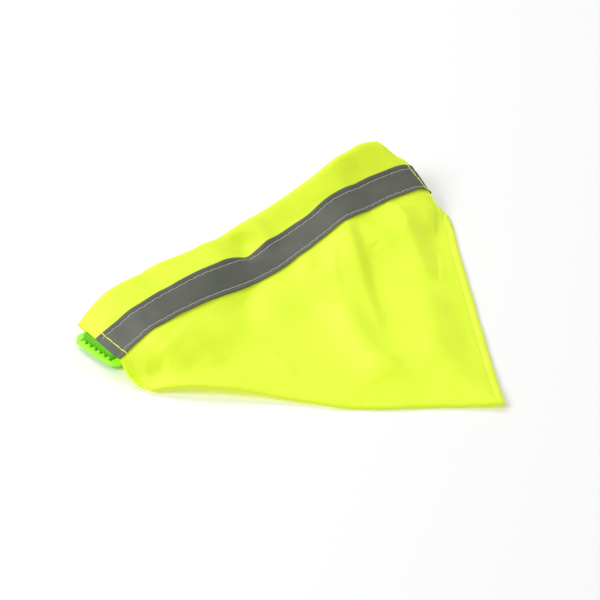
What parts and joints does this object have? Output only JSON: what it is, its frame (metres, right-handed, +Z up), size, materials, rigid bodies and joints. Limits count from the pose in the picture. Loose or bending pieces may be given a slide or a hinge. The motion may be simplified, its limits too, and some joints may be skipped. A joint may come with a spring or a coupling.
{
  "type": "reflective pet bandana collar",
  "caption": "Hi-vis polyester pet bandana with a reflective tape, lying flat on its webbing collar, whose side-release buckle shows at one mouth of the sleeve.",
  "frame": {"origin": "middle of the bottom of the whole object, on the surface that it lies on", "axes": "+X along the fold and the strap, away from the buckle's end; -Y towards the bandana's point; +Z up"},
  "size_m": [0.1458, 0.1226, 0.0197],
  "materials": {
    "hi_vis_cloth": "matte",
    "reflective_tape": "satin",
    "tape_thread": "matte",
    "hem_thread": "matte",
    "webbing": "matte",
    "webbing_thread": "matte",
    "buckle_plastic": "satin"
  },
  "bodies": {
    "collar": {"buckle_socket": "buckle_plastic", "strap_return_run": "webbing", "strap_end_stitching": "webbing_thread", "strap_sleeve_run": "webbing"},
    "bandana": {"bandana_cloth": "hi_vis_cloth", "reflective_tape": "reflective_tape", "tape_upper_stitching": "tape_thread", "tape_lower_stitching": "tape_thread", "left_mouth_stitching": "hem_thread", "right_mouth_stitching": "hem_thread", "left_side_stitching": "hem_thread", "right_side_stitching": "hem_thread", "loose_thread_end": "hem_thread"},
    "clip": {"buckle_clip": "buckle_plastic", "strap_clip_loop": "webbing"},
    "left_arm": {"clip_left_arm": "buckle_plastic"},
    "right_arm": {"clip_right_arm": "buckle_plastic"}
  },
  "joints": [
    {"name": "clip_release", "type": "slide", "parent": "collar", "child": "clip", "axis": [-1, 0, 0], "range_m": [0, 0.016], "deforming": ["strap_sleeve_run", "strap_clip_loop", "clip_left_arm", "clip_right_arm"]},
    {"name": "left_arm_squeeze", "type": "hinge", "parent": "clip", "child": "left_arm", "pos_m": [-0.0586, 0.05715, 0.0034], "axis": [0, 0, -1], "range_deg": [0, 12], "stiffness_Nm_per_rad": 0.02},
    {"name": "right_arm_squeeze", "type": "hinge", "parent": "clip", "child": "right_arm", "pos_m": [-0.0586, 0.04165, 0.0034], "axis": [0, 0, 1], "range_deg": [0, 12], "stiffness_Nm_per_rad": 0.02},
    {"name": "bandana_slide", "type": "slide", "parent": "collar", "child": "bandana", "axis": [1, 0, 0], "range_m": [-0.003, 0.003]}
  ],
  "couplings": [
    {"joint": "right_arm_squeeze", "follows": "left_arm_squeeze", "ratio": 1}
  ]
}
